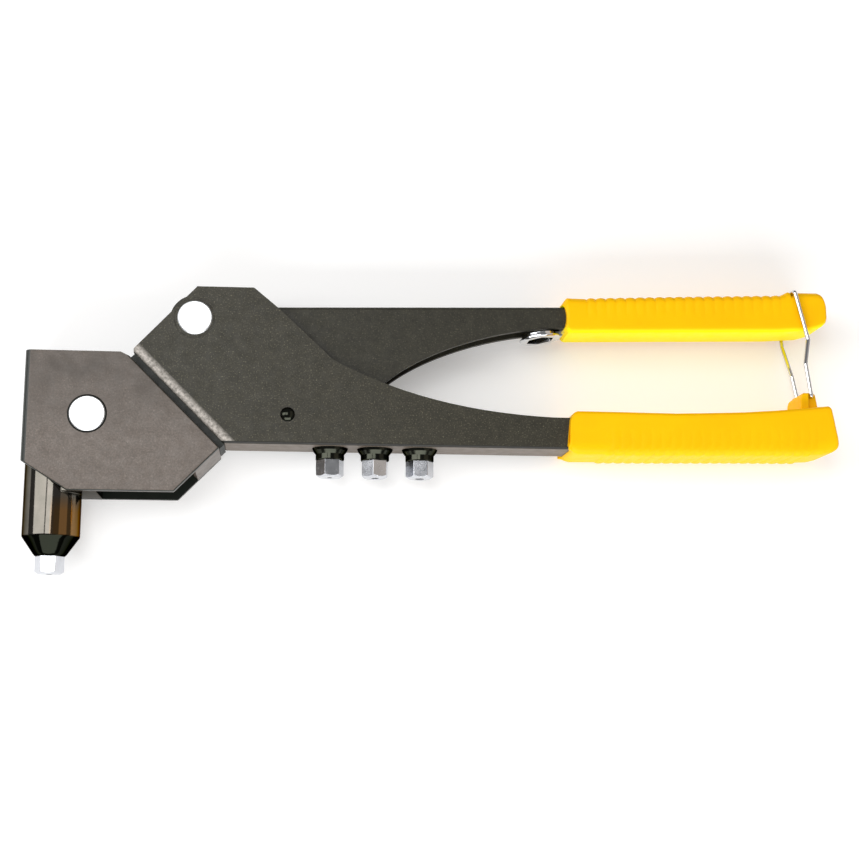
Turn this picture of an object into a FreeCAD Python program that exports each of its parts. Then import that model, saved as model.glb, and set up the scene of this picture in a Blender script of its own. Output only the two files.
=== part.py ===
import FreeCAD, Part
import math
import os

from FreeCAD import Vector

# Swivel-head hand riveter, lying on its side. All sizes are in millimetres.
# While it is being drawn, the origin is the middle of the main pivot, +X runs towards the
# handles' ends, +Y towards the upper handle and +Z across the tool. It is moved at the end.

# Folded steel frame with the lower handle
FRAME_HALF = 8.0
FRAME_SHEET = 2.0
FRAME_BOTTOM = -42.5
FRAME_END = 214.0
HANDLE_TOP = -31.6
HEEL_RADIUS = 2.0

# Lever with the upper handle, a channel that is open underneath
LEVER_HALF = 5.7
LEVER_SHEET = 2.0
LEVER_TOP_AT_PIVOT = 4.5
LEVER_SLOPE = 0.0285
LEVER_START = 15.0
LEVER_END = 214.0
LEVER_DEPTH_IN_GRIP = 7.7
PIVOT_BOSS_RADIUS = 8.5

# Main pivot and stop pin
MAIN_PIN_RADIUS = 4.0
MAIN_HEAD_RADIUS = 5.8
MAIN_HEAD_HEIGHT = 0.8
STOP_PIN_AT = (31.5, -32.4)
STOP_PIN_RADIUS = 1.6
STOP_DOME_RADIUS = 2.45
STOP_DOME_HEIGHT = 1.3

# Swivel: its axis crosses the frame and the head at 45 degrees. "along" is a distance on
# that axis from the point nearest the main pivot, towards the handles.
SWIVEL_OFFSET = 16.5
FRAME_SLANT = -22.7
HEAD_SLANT = -24.9
FRAME_SLANT_TOP = -5.4
HEAD_SLANT_TOP = -4.2
HEAD_SLANT_BOTTOM = 38.2
BOLT_RADIUS = 5.0
BOLT_FLANGE_RADIUS = 5.6
BOLT_FLANGE_HEIGHT = 3.0
NUT_ACROSS_FLATS = 13.0
NUT_HEIGHT = 3.5
WASHER_ENDS = (-4.6, 38.0)
WASHER_HALF = 7.8
RUNNING_GAP = 0.05
FACE_GAP = 0.1

# Push rod, toe of the lever and bell crank
ROD_RADIUS = 3.0
ROD_HEAD_RADIUS = 5.0
ROD_HEAD_FACE = 3.2
ROD_DOME = 5.0
SPRING_WIRE = 1.0
SPRING_COIL_RADIUS = 3.9
SPRING_TURNS = 4
TOE_REACH = 17.0
TOE_ROLLER_RADIUS = 3.5
TOE_ROLLER_HALF = 3.6
TOE_PIN_RADIUS = 1.5
FINGER_HALF = 3.0
REST_SWING = 19.0
CONTACT_GAP = 0.3
CRANK_AT = (-33.6, -34.2)
CRANK_PIN_RADIUS = 4.0
CRANK_HUB_RADIUS = 5.8
CRANK_HALF = 4.0
CRANK_HUB_HALF = 9.3
ROD_ARM = 16.2
ROD_PAD_RADIUS = 4.0
LIFT_ARM = 11.9
LIFT_PAD_RADIUS = 2.5
FORK_GAP_HALF = 3.4
FORK_HALF = 6.6
FORK_ROOT = 7.6

# Head housing
HEAD_HALF = 12.0
HEAD_SHEET = 2.4
HEAD_LEFT = -54.4
HEAD_TOP = -13.2
HEAD_BOTTOM = -59.4
HEAD_BEND_RADIUS = 2.3
FRONT_WALL_END = -48.0
CORNER_LIP = 11.0
HEAD_DISC_RADIUS = 5.85
HEAD_DISC_PROUD = 0.6

# Nose: tube, nosepieces and jaws, all on one axis parallel to Y
NOSE_X = -45.1
TUBE_RADIUS = 9.4
TUBE_BORE = 7.0
TUBE_TOP = -48.4
CONE_TOP = -73.6
CONE_END = -80.0
CONE_END_RADIUS = 4.8
TUBE_FLOOR = -76.6
HEX_ACROSS_FLATS = 8.3
HEX_HEIGHT = 5.8
THREAD_RADIUS = 3.0
THREAD_LENGTH = 5.0
NIPPLE_RADIUS = 2.3
NIPPLE_LENGTH = 1.9
FITTED_BORE = 1.05
SPARE_BORES = (0.85, 1.25, 1.5)
SPARE_START = 46.1
SPARE_PITCH = 15.25
BUSH_ROOT_RADIUS = 5.8
BUSH_TIP_RADIUS = 4.85
BUSH_HEIGHT = 4.1
BUSH_SHANK_RADIUS = 4.4
CASE_BOTTOM = -68.0
CASE_TOP = -46.0
CASE_NECK = -49.5
CASE_NECK_RADIUS = 6.4
STEM_RADIUS = 3.0
STEM_TOP = -23.5
COLLAR_RADIUS = 5.3
MANDREL_BORE = 1.7
JAW_BOTTOM = -66.4
JAW_HEIGHT = 10.0
JAW_BOTTOM_RADIUS = 3.5
JAW_TOP_RADIUS = 5.3
JAW_GAP = 0.2
JAW_SLIT_HALF = 0.25
PUSHER_HEIGHT = 5.0
JAW_WIRE = 0.8
JAW_TURNS = 2.5
JAW_COIL_RADIUS = 4.0

# Grips
LOWER_HALF = 10.4
UPPER_HALF = 8.2
LOWER_GRIP_END = 222.0

# Wire bail that locks the handles, and the spanner kept in the upper handle
WIRE_RADIUS = 0.75
BAIL_PIVOT = (213.6, -22.0)
BAIL_TOP = (208.2, 15.1)
BAIL_NEAR_LOW = (212.1, -10.2)
BAIL_NEAR_HIGH = (212.3, -2.3)
BAIL_FAR_LOW = (211.8, -12.2)
BAIL_FAR_HIGH = (209.7, -0.5)
BAIL_NARROW_HALF = 6.5
BAIL_WIDE_HALF = 9.5
BAIL_BEND = 0.9
HUMP_HALF = 6.9
SPANNER_RING_AT = (118.7, -1.75)
SPANNER_TILT = 8.0
SPANNER_FLANGE_RADIUS = 7.2
SPANNER_BARREL_RADIUS = 6.2
SPANNER_THICKNESS = 2.2
SPANNER_HEX = 8.6
TANG_LENGTH = 27.0
TANG_RISE = 2.1
TANG_HALF = 3.3
MOUTH_SLOT_END = 128.4

ROOT_HALF = math.sqrt(0.5)
WIDE = 100.0


def swivel_point(across, along, z=0.0):
    """A point from its place across and along the swivel axis."""
    return Vector(ROOT_HALF * (across + along), ROOT_HALF * (along - across), z)


AXIS = Vector(ROOT_HALF, ROOT_HALF, 0)


def outline(corners):
    """A closed wire through corners (x, y) or (x, y, radius), with an arc at each radius."""
    count = len(corners)
    starts, ends, arcs = [], [], []
    for i, corner in enumerate(corners):
        here = Vector(corner[0], corner[1], 0)
        radius = corner[2] if len(corner) > 2 else 0.0
        if not radius:
            starts.append(here)
            ends.append(here)
            arcs.append(None)
            continue
        before, after = corners[i - 1], corners[(i + 1) % count]
        back = (Vector(before[0], before[1], 0) - here).normalize()
        on = (Vector(after[0], after[1], 0) - here).normalize()
        half = back.getAngle(on) / 2
        reach = radius / math.tan(half)
        middle = here + (back + on).normalize() * (radius / math.sin(half) - radius)
        starts.append(here + back * reach)
        ends.append(here + on * reach)
        arcs.append(middle)
    edges = []
    for i in range(count):
        if arcs[i]:
            edges.append(Part.Arc(starts[i], arcs[i], ends[i]).toShape())
        following = starts[(i + 1) % count]
        if ends[i].distanceToPoint(following) > 1e-6:
            edges.append(Part.makeLine(ends[i], following))
    return Part.Wire(edges)


def slab(wire, low, high):
    """The solid of a wire in the XY plane, from z = low to z = high."""
    face = Part.Face(wire)
    face.translate(Vector(0, 0, low))
    return face.extrude(Vector(0, 0, high - low))


def bar(start, end, radius):
    """A round bar between two points."""
    run = end - start
    return Part.makeCylinder(radius, run.Length, start, run)


def cross_bar(at, radius, low, high):
    """A round bar across the tool at (x, y)."""
    return Part.makeCylinder(radius, high - low, Vector(at[0], at[1], low))


def box(low, high):
    """A box from its lowest and highest corners."""
    low, high = Vector(*low), Vector(*high)
    size = high - low
    return Part.makeBox(size.x, size.y, size.z, low)


def turned(profile, x=0.0, z=0.0):
    """A solid of revolution about a line parallel to Y, from (radius, y) points."""
    points = [Vector(x + r, y, z) for r, y in profile]
    face = Part.Face(Part.makePolygon(points + points[:1]))
    return face.revolve(Vector(x, 0, z), Vector(0, 1, 0), 360)


def hexagon_bar(across_flats, start, length, direction, turn=0.0):
    """A hexagonal bar along any direction, turned about itself by an angle in degrees."""
    corner = across_flats / math.sqrt(3)
    angles = [math.radians(turn + 60 * i) for i in range(6)]
    points = [Vector(corner * math.cos(a), corner * math.sin(a), 0) for a in angles]
    solid = Part.Face(Part.makePolygon(points + points[:1])).extrude(Vector(0, 0, length))
    solid.Placement = FreeCAD.Placement(start, FreeCAD.Rotation(Vector(0, 0, 1), direction))
    return solid


def ridges(solid, test):
    """The edges of a solid whose middle point passes a test."""
    found = []
    for edge in solid.Edges:
        middle = edge.valueAt((edge.FirstParameter + edge.LastParameter) / 2)
        if test(edge, middle):
            found.append(edge)
    return found


def straight(edge):
    return isinstance(edge.Curve, Part.Line)


def toe_point():
    angle = math.radians(-45 - REST_SWING)
    return Vector(TOE_REACH * math.cos(angle), TOE_REACH * math.sin(angle), 0)


def rod_pad_point():
    angle = math.radians(-45 - REST_SWING)
    return Vector(CRANK_AT[0], CRANK_AT[1], 0) + Vector(math.cos(angle), math.sin(angle), 0) * ROD_ARM


def lift_pad_point():
    angle = math.radians(180 - REST_SWING)
    return Vector(CRANK_AT[0], CRANK_AT[1], 0) + Vector(math.cos(angle), math.sin(angle), 0) * LIFT_ARM


def lever_top(x):
    """Height of the lever's top web over the pivot."""
    return LEVER_TOP_AT_PIVOT + LEVER_SLOPE * x


# ---------------------------------------------------------------- frame and lower handle


def frame_outline():
    """Side view of the frame: slanted front, peak over the pivot, and a curve to the handle."""
    front_top = swivel_point(FRAME_SLANT_TOP, FRAME_SLANT)
    heel = Vector(FRAME_SLANT / ROOT_HALF - FRAME_BOTTOM, FRAME_BOTTOM, 0)
    shoulder = Vector(46.4, -13.2, 0)
    tail = Vector(122.0, HANDLE_TOP, 0)
    corners = [
        Vector(front_top.x, front_top.y + 1.2, 0),
        Vector(0.5, 11.0, 0),
        Vector(19.5, 11.1, 0),
        Vector(27.6, 4.4, 0),
        shoulder,
    ]
    edges = [Part.makeLine(a, b) for a, b in zip(corners, corners[1:])]
    sweep = Part.BezierCurve()
    sweep.setPoles([shoulder, Vector(71.0, -26.2, 0), Vector(97.0, -30.7, 0), tail])
    edges.append(sweep.toShape())
    end_top = Vector(FRAME_END, HANDLE_TOP, 0)
    end_low = Vector(FRAME_END, FRAME_BOTTOM, 0)
    reach = HEEL_RADIUS * math.tan(math.radians(22.5))
    heel_right = heel + Vector(reach, 0, 0)
    slope = (front_top - heel).normalize()
    heel_up = heel + slope * reach
    inward = (Vector(1, 0, 0) + slope).normalize()
    heel_middle = heel + inward * (HEEL_RADIUS / math.cos(math.radians(22.5)) - HEEL_RADIUS)
    edges += [
        Part.makeLine(tail, end_top),
        Part.makeLine(end_top, end_low),
        Part.makeLine(end_low, heel_right),
        Part.Arc(heel_right, heel_middle, heel_up).toShape(),
        Part.makeLine(heel_up, front_top),
        Part.makeLine(front_top, corners[0]),
    ]
    return Part.Wire(edges)


def frame_hollow():
    """The space between the frame's two plates, above the web and behind the front wall."""
    inner = FRAME_SLANT + FRAME_SHEET
    floor = FRAME_BOTTOM + FRAME_SHEET
    corner_x = 2 * inner * ROOT_HALF - floor
    top = swivel_point(-80, inner)
    points = [(corner_x, floor, 1.0), (WIDE * 3, floor), (WIDE * 3, WIDE), (top.x, WIDE), (top.x, top.y)]
    half = FRAME_HALF - FRAME_SHEET
    return slab(outline(points), -half, half)


def spare_places():
    return [SPARE_START + SPARE_PITCH * i for i in range(len(SPARE_BORES))]


def storage_bush(x):
    """A threaded bush riveted in the web, which a spare nosepiece screws into."""
    low = FRAME_BOTTOM - BUSH_HEIGHT
    inside = FRAME_BOTTOM + FRAME_SHEET
    bore = THREAD_RADIUS + RUNNING_GAP
    return turned([
        (bore, inside + 0.6), (BUSH_SHANK_RADIUS, inside), (BUSH_SHANK_RADIUS, FRAME_BOTTOM),
        (BUSH_ROOT_RADIUS + 0.3, FRAME_BOTTOM), (BUSH_ROOT_RADIUS, FRAME_BOTTOM - 0.9),
        (BUSH_TIP_RADIUS, FRAME_BOTTOM - 2.1), (BUSH_TIP_RADIUS, low + 0.3),
        (BUSH_TIP_RADIUS - 0.3, low), (bore, low),
    ], x)


def main_frame():
    solid = slab(frame_outline(), -FRAME_HALF, FRAME_HALF)
    front = swivel_point(16, FRAME_SLANT)

    def folded(edge, p):
        if not straight(edge) or abs(abs(p.z) - FRAME_HALF) > 0.01:
            return False
        on_web = abs(p.y - FRAME_BOTTOM) < 0.01
        on_front = abs((p - front).dot(AXIS)) < 0.01
        return on_web or on_front

    solid = solid.makeFillet(1.0, ridges(solid, folded))
    solid = solid.cut(frame_hollow())
    holes = [
        bar(Vector(x, FRAME_BOTTOM - 1, 0), Vector(x, FRAME_BOTTOM + 6, 0), BUSH_SHANK_RADIUS)
        for x in spare_places()
    ]
    holes.append(cross_bar((0, 0), MAIN_PIN_RADIUS, -WIDE, WIDE))
    holes.append(cross_bar(STOP_PIN_AT, STOP_PIN_RADIUS, -WIDE, WIDE))
    bolt = [swivel_point(SWIVEL_OFFSET, FRAME_SLANT + d) for d in (-1, FRAME_SHEET + 1)]
    holes.append(bar(bolt[0], bolt[1], BOLT_RADIUS))
    for side in (-1, 1):
        dish = cross_bar((0, 0), 7.05, 0, 0.3).cut(cross_bar((0, 0), 6.4, 0, 0.3))
        dish.translate(Vector(0, 0, side * FRAME_HALF - 0.15))
        holes.append(dish)
    solid = solid.cut(holes)
    return solid.removeSplitter()


def main_pivot_pin():
    """A rivet with a shank in both plates and a low chamfered head on each side."""
    head = Part.makeCone(MAIN_HEAD_RADIUS, MAIN_HEAD_RADIUS - 0.35, 0.35,
                         Vector(0, 0, FRAME_HALF + MAIN_HEAD_HEIGHT - 0.35))
    disc = cross_bar((0, 0), MAIN_HEAD_RADIUS, FRAME_HALF, FRAME_HALF + MAIN_HEAD_HEIGHT - 0.35)
    near = disc.fuse(head)
    far = near.mirror(Vector(0, 0, 0), Vector(0, 0, 1))
    shank = cross_bar((0, 0), MAIN_PIN_RADIUS, -FRAME_HALF, FRAME_HALF)
    return shank.fuse([near, far]).removeSplitter()


def stop_pin():
    """A rivet through the frame with a domed head on each side."""
    sphere = (STOP_DOME_RADIUS**2 + STOP_DOME_HEIGHT**2) / (2 * STOP_DOME_HEIGHT)
    centre = Vector(STOP_PIN_AT[0], STOP_PIN_AT[1], FRAME_HALF + STOP_DOME_HEIGHT - sphere)
    dome = Part.makeSphere(sphere, centre)
    dome = dome.common(cross_bar(STOP_PIN_AT, STOP_DOME_RADIUS + 1, FRAME_HALF, FRAME_HALF + 5))
    far = dome.mirror(Vector(0, 0, 0), Vector(0, 0, 1))
    shank = cross_bar(STOP_PIN_AT, STOP_PIN_RADIUS, -FRAME_HALF, FRAME_HALF)
    return shank.fuse([dome, far]).removeSplitter()


# ---------------------------------------------------------------- lever and upper handle


def lever_outline():
    """Side view of the lever: pivot boss, belly hidden in the frame, and a thin handle."""
    throat = Vector(64.9, -19.8, 0)
    handle_low = Vector(126.0, 0.4, 0)
    end_low = Vector(LEVER_END, lever_top(LEVER_END) - LEVER_DEPTH_IN_GRIP, 0)
    end_top = Vector(LEVER_END, lever_top(LEVER_END), 0)
    start_top = Vector(0, lever_top(0), 0)
    sweep = Part.BezierCurve()
    sweep.setPoles([throat, Vector(78.0, -8.6, 0), Vector(104.0, 0.0, 0), handle_low])
    belly = [start_top, Vector(0, -8, 0), Vector(14, -16, 0), Vector(34, -26, 0), Vector(52, -28, 0), throat]
    edges = [Part.makeLine(a, b) for a, b in zip(belly, belly[1:])]
    edges.append(sweep.toShape())
    edges += [
        Part.makeLine(handle_low, end_low),
        Part.makeLine(end_low, end_top),
        Part.makeLine(end_top, start_top),
    ]
    return Part.Wire(edges)


def toe_finger(low, high):
    """The pivot boss and the finger that reaches to the toe roller."""
    toe = toe_point()
    side = Vector(-toe.y, toe.x, 0).normalize() * FINGER_HALF
    corners = [side, toe + side, toe - side, side * -1]
    web = slab(Part.makePolygon(corners + corners[:1]), low, high)
    boss = cross_bar((0, 0), PIVOT_BOSS_RADIUS, low, high)
    tip = cross_bar((toe.x, toe.y), FINGER_HALF, low, high)
    return web.fuse([boss, tip])


def lever_handle():
    solid = slab(lever_outline(), -LEVER_HALF, LEVER_HALF)
    nose = [(-WIDE, WIDE), (-WIDE, -WIDE), (9, -WIDE), (9, 0), (LEVER_START, 4), (LEVER_START, WIDE)]

    def folded(edge, p):
        on_web = straight(edge) and abs(p.y - lever_top(p.x)) < 0.01
        return on_web and abs(abs(p.z) - LEVER_HALF) < 0.01

    solid = solid.makeFillet(1.2, ridges(solid, folded))
    solid = solid.cut(slab(outline(nose), -WIDE, WIDE))
    solid = solid.fuse(toe_finger(-LEVER_HALF, LEVER_HALF))
    drop = LEVER_TOP_AT_PIVOT - LEVER_SHEET
    far_x = WIDE * 3
    channel = [
        (-WIDE, drop - LEVER_SLOPE * WIDE),
        (-WIDE, -WIDE),
        (far_x, -WIDE),
        (far_x, drop + LEVER_SLOPE * far_x),
    ]
    half = LEVER_HALF - LEVER_SHEET
    solid = solid.cut(slab(outline(channel), -half, half))
    front = [(-WIDE, -WIDE), (LEVER_START, -WIDE), (LEVER_START, WIDE), (-WIDE, WIDE)]
    toe = toe_point()
    solid = solid.cut([
        slab(outline(front), -half, half),
        cross_bar((0, 0), MAIN_PIN_RADIUS + RUNNING_GAP, -WIDE, WIDE),
        cross_bar((toe.x, toe.y), TOE_PIN_RADIUS, -WIDE, WIDE),
    ])
    return solid.removeSplitter()


def toe_pin():
    toe = toe_point()
    return cross_bar((toe.x, toe.y), TOE_PIN_RADIUS, -LEVER_HALF, LEVER_HALF)


def toe_roller():
    """The roller between the lever's plates that pushes the rod."""
    toe = toe_point()
    at = (toe.x, toe.y)
    body = cross_bar(at, TOE_ROLLER_RADIUS, -TOE_ROLLER_HALF, TOE_ROLLER_HALF)
    return body.cut(cross_bar(at, TOE_PIN_RADIUS + RUNNING_GAP, -WIDE, WIDE))


# ---------------------------------------------------------------- swivel and push rod


def swivel_bolt():
    """A hollow bolt through both slanted walls, with its flange inside the frame."""
    inner = FRAME_SLANT + FRAME_SHEET
    low = HEAD_SLANT - HEAD_SHEET - FACE_GAP - NUT_HEIGHT
    flange = bar(
        swivel_point(SWIVEL_OFFSET, inner),
        swivel_point(SWIVEL_OFFSET, inner + BOLT_FLANGE_HEIGHT),
        BOLT_FLANGE_RADIUS,
    )
    shank = bar(swivel_point(SWIVEL_OFFSET, low), swivel_point(SWIVEL_OFFSET, inner), BOLT_RADIUS)
    bore = bar(
        swivel_point(SWIVEL_OFFSET, low - 1),
        swivel_point(SWIVEL_OFFSET, inner + BOLT_FLANGE_HEIGHT + 1),
        ROD_RADIUS + RUNNING_GAP,
    )
    return flange.fuse(shank).removeSplitter().cut(bore)


def swivel_nut():
    """The nut that holds the head on the bolt, inside the head."""
    start = swivel_point(SWIVEL_OFFSET, HEAD_SLANT - HEAD_SHEET - FACE_GAP)
    nut = hexagon_bar(NUT_ACROSS_FLATS, start, NUT_HEIGHT, AXIS * -1)
    bore = bar(start + AXIS, start - AXIS * (NUT_HEIGHT + 1), BOLT_RADIUS)
    return nut.cut(bore)


def swivel_washer():
    """The thrust plate between the frame and the head, a thin rectangle bored for the bolt."""
    low, high = HEAD_SLANT + FACE_GAP, FRAME_SLANT
    top, heel = WASHER_ENDS
    corners = [swivel_point(*place) for place in ((top, low), (heel, low), (heel, high), (top, high))]
    plate = slab(Part.makePolygon(corners + corners[:1]), -WASHER_HALF, WASHER_HALF)
    ends = swivel_point(SWIVEL_OFFSET, low - 1), swivel_point(SWIVEL_OFFSET, high + 1)
    return plate.cut(bar(ends[0], ends[1], BOLT_RADIUS))


def rod_ends():
    """Where the push rod starts and ends along the swivel axis."""
    toe, pad = toe_point(), rod_pad_point()
    top = toe.dot(AXIS) - TOE_ROLLER_RADIUS - CONTACT_GAP
    low = pad.dot(AXIS) + ROD_PAD_RADIUS + CONTACT_GAP
    return low, top


def spun_on_swivel_axis(profile):
    """A solid of revolution on the swivel axis, from (radius, along) points."""
    solid = turned(profile)
    solid.rotate(Vector(0, 0, 0), Vector(0, 0, 1), -45)
    solid.translate(swivel_point(SWIVEL_OFFSET, 0))
    return solid


def push_rod():
    """A round rod with a domed end on the crank and a coned head under the lever's roller."""
    low, top = rod_ends()
    rod = spun_on_swivel_axis([
        (0, low), (ROD_RADIUS, low), (ROD_RADIUS, top - 2.6), (ROD_HEAD_RADIUS, top - 2.6),
        (ROD_HEAD_RADIUS, top - 1.4), (ROD_HEAD_FACE, top), (0, top),
    ])
    ball = Part.makeSphere(ROD_DOME, swivel_point(SWIVEL_OFFSET, low + ROD_DOME))
    above = spun_on_swivel_axis([(0, low + 2), (10, low + 2), (10, top + 1), (0, top + 1)])
    return rod.common(ball.fuse(above)).removeSplitter()


def return_spring():
    """A compression spring round the push rod, from the bolt's flange to the rod's head."""
    low = FRAME_SLANT + FRAME_SHEET + BOLT_FLANGE_HEIGHT + SPRING_WIRE / 2
    high = rod_ends()[1] - 2.6 - SPRING_WIRE / 2
    coil = spring_coil(SPRING_WIRE, SPRING_COIL_RADIUS, high - low, SPRING_TURNS)
    coil.rotate(Vector(0, 0, 0), Vector(0, 0, 1), -45)
    coil.translate(swivel_point(SWIVEL_OFFSET, low))
    return coil


def spring_coil(wire, radius, length, turns):
    """An open coil spring of round wire that rises along +Y from the origin."""
    pitch = length / turns
    helix = Part.makeLongHelix(pitch, length, radius)
    lead = Vector(0, 1, pitch / (2 * math.pi * radius))
    ring = Part.Wire(Part.makeCircle(wire / 2, Vector(radius, 0, 0), lead))
    coil = Part.Wire(helix).makePipeShell([ring], True, True)
    coil.rotate(Vector(0, 0, 0), Vector(1, 0, 0), -90)
    return coil


def crank_arm(tip, half, sides):
    """An arm from the crank's hub to a round pad; sides gives its edges' offsets at hub and pad."""
    hub_at = Vector(CRANK_AT[0], CRANK_AT[1], 0)
    run = (tip - hub_at).normalize()
    across = Vector(-run.y, run.x, 0)
    (hub_a, tip_a), (hub_b, tip_b) = sides
    corners = [hub_at + across * hub_a, tip + across * tip_a, tip + across * tip_b, hub_at + across * hub_b]
    arm = slab(Part.makePolygon(corners + corners[:1]), -half, half)
    return arm.fuse(cross_bar((tip.x, tip.y), abs(tip_a), -half, half))


def fork_slot():
    """The slot in the short arm that lets the jaw case's stem pass."""
    hub_at = Vector(CRANK_AT[0], CRANK_AT[1], 0)
    run = (lift_pad_point() - hub_at).normalize()
    side = Vector(-run.y, run.x, 0) * 12
    root, end = hub_at + run * FORK_ROOT, hub_at + run * 30
    corners = [root + side, end + side, end - side, root - side]
    return slab(Part.makePolygon(corners + corners[:1]), -FORK_GAP_HALF, FORK_GAP_HALF)


def bell_crank():
    """One forged lever: a long arm under the push rod and a fork under the jaw case's collar."""
    hub = cross_bar(CRANK_AT, CRANK_HUB_RADIUS, -CRANK_HUB_HALF, CRANK_HUB_HALF)
    pad, lift = ROD_PAD_RADIUS, LIFT_PAD_RADIUS
    long_arm = crank_arm(rod_pad_point(), CRANK_HALF, [(pad - 0.5, pad), (0.5 - pad, -pad)])
    fork = crank_arm(lift_pad_point(), FORK_HALF, [(lift + 2.2, lift), (1.8, -0.5)]).cut(fork_slot())
    bore = cross_bar(CRANK_AT, CRANK_PIN_RADIUS + RUNNING_GAP, -WIDE, WIDE)
    return hub.fuse([long_arm, fork]).cut(bore).removeSplitter()


# ---------------------------------------------------------------- head


def head_outline():
    right = swivel_point(HEAD_SLANT_BOTTOM, HEAD_SLANT)
    top = swivel_point(HEAD_SLANT_TOP, HEAD_SLANT)
    drop = right.y - HEAD_BOTTOM
    return outline([
        (HEAD_LEFT, HEAD_TOP),
        (HEAD_LEFT, FRONT_WALL_END - 1.8),
        (-39.2, HEAD_BOTTOM, 1.5),
        (right.x - drop + 0.4, HEAD_BOTTOM, 0.8),
        (right.x, right.y, 0.5),
        (top.x, top.y),
        (-23.6, HEAD_TOP),
    ])


def head_hollow():
    """The space between the head's plates, open at the top and along most of the underside."""
    inner = HEAD_SLANT - HEAD_SHEET
    lip_side = HEAD_SLANT_BOTTOM - HEAD_SHEET
    lip_end = HEAD_SLANT - CORNER_LIP
    up = swivel_point(-60, inner)
    a = swivel_point(lip_side, inner)
    b = swivel_point(lip_side, lip_end)
    c = swivel_point(HEAD_SLANT_BOTTOM + 5, lip_end)
    points = [
        (HEAD_LEFT + HEAD_SHEET, WIDE),
        (HEAD_LEFT + HEAD_SHEET, FRONT_WALL_END),
        (HEAD_LEFT - 5, FRONT_WALL_END),
        (HEAD_LEFT - 5, -WIDE),
        (c.x, -WIDE),
        (c.x, c.y),
        (b.x, b.y),
        (a.x, a.y, 1.0),
        (up.x, up.y),
        (up.x, WIDE),
    ]
    half = HEAD_HALF - HEAD_SHEET
    return slab(outline(points), -half, half)


def head_housing():
    solid = slab(head_outline(), -HEAD_HALF, HEAD_HALF)
    front = swivel_point(16, HEAD_SLANT)

    def bend(edge, p):
        return straight(edge) and abs(p.x - HEAD_LEFT) < 0.01 and abs(abs(p.z) - HEAD_HALF) < 0.01

    def rim(edge, p):
        on_slant = straight(edge) and abs((p - front).dot(AXIS)) < 0.01
        return on_slant and abs(abs(p.z) - HEAD_HALF) < 0.01

    solid = solid.makeFillet(HEAD_BEND_RADIUS, ridges(solid, bend))
    solid = solid.makeFillet(0.6, ridges(solid, rim))
    solid = solid.cut(head_hollow())
    bolt = [swivel_point(SWIVEL_OFFSET, HEAD_SLANT + d) for d in (1, -HEAD_SHEET - 1)]
    holes = [
        cross_bar(CRANK_AT, HEAD_DISC_RADIUS, -WIDE, WIDE),
        bar(bolt[0], bolt[1], BOLT_RADIUS + RUNNING_GAP),
    ]
    for side in (-1, 1):
        sink = Part.makeCone(
            HEAD_DISC_RADIUS, HEAD_DISC_RADIUS + 0.6, 0.6,
            Vector(CRANK_AT[0], CRANK_AT[1], side * (HEAD_HALF - 0.6)), Vector(0, 0, side)
        )
        holes.append(sink)
    return solid.cut(holes).removeSplitter()


def head_pivot_pin():
    """The crank's pin: a thin journal between two broad discs that fill the plates' holes."""
    inner = HEAD_HALF - HEAD_SHEET
    chamfer = 0.3
    top = HEAD_HALF + HEAD_DISC_PROUD
    near = cross_bar(CRANK_AT, HEAD_DISC_RADIUS, inner, top - chamfer)
    bevel = Part.makeCone(
        HEAD_DISC_RADIUS, HEAD_DISC_RADIUS - chamfer, chamfer,
        Vector(CRANK_AT[0], CRANK_AT[1], top - chamfer)
    )
    far = cross_bar(CRANK_AT, HEAD_DISC_RADIUS, -HEAD_HALF, -inner)
    journal = cross_bar(CRANK_AT, CRANK_PIN_RADIUS, -inner, inner)
    return journal.fuse([near, bevel, far]).removeSplitter()


def nose_tube():
    """The black nose: a bored tube with a coned end, and a lug that is welded between the plates."""
    profile = [
        (0, TUBE_TOP),
        (TUBE_RADIUS, TUBE_TOP),
        (TUBE_RADIUS, CONE_TOP),
        (CONE_END_RADIUS + 0.7, CONE_END + 0.8),
        (CONE_END_RADIUS, CONE_END),
        (0, CONE_END),
    ]
    tube = turned(profile, NOSE_X)
    inner = HEAD_HALF - HEAD_SHEET
    lug = box((NOSE_X + 4, HEAD_BOTTOM, -inner), (NOSE_X + 15, HEAD_BOTTOM + 7.4, inner))
    solid = tube.fuse(lug)
    bore = turned([(0, TUBE_TOP + 1), (TUBE_BORE, TUBE_TOP + 1), (TUBE_BORE, TUBE_FLOOR), (0, TUBE_FLOOR)], NOSE_X)
    thread = turned(
        [(0, TUBE_FLOOR + 1), (THREAD_RADIUS + RUNNING_GAP, TUBE_FLOOR + 1),
         (THREAD_RADIUS + RUNNING_GAP, CONE_END - 1), (0, CONE_END - 1)], NOSE_X
    )
    return solid.cut([bore, thread]).removeSplitter()


def nosepiece(x, seat, bore, turn):
    """A hexagonal nosepiece with a plain thread shank, a nipple and a mandrel bore."""
    tip = seat - HEX_HEIGHT
    hexagon = hexagon_bar(HEX_ACROSS_FLATS, Vector(x, tip, 0), HEX_HEIGHT, Vector(0, 1, 0), turn)
    corner = HEX_ACROSS_FLATS / math.sqrt(3)
    round_end = turned([
        (0, tip), (HEX_ACROSS_FLATS / 2 - 0.5, tip), (corner + 0.1, tip + 0.9),
        (corner + 0.1, seat), (0, seat),
    ], x)
    shank_top = seat + THREAD_LENGTH
    shank = turned([
        (0, seat - 1), (THREAD_RADIUS, seat - 1), (THREAD_RADIUS, shank_top - 0.5),
        (THREAD_RADIUS - 0.5, shank_top), (NIPPLE_RADIUS, shank_top),
        (NIPPLE_RADIUS - 0.7, shank_top + NIPPLE_LENGTH), (0, shank_top + NIPPLE_LENGTH),
    ], x)
    hole = turned([(0, tip - 1), (bore, tip - 1), (bore, shank_top + 9), (0, shank_top + 9)], x)
    return hexagon.common(round_end).fuse(shank).cut(hole).removeSplitter()


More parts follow.
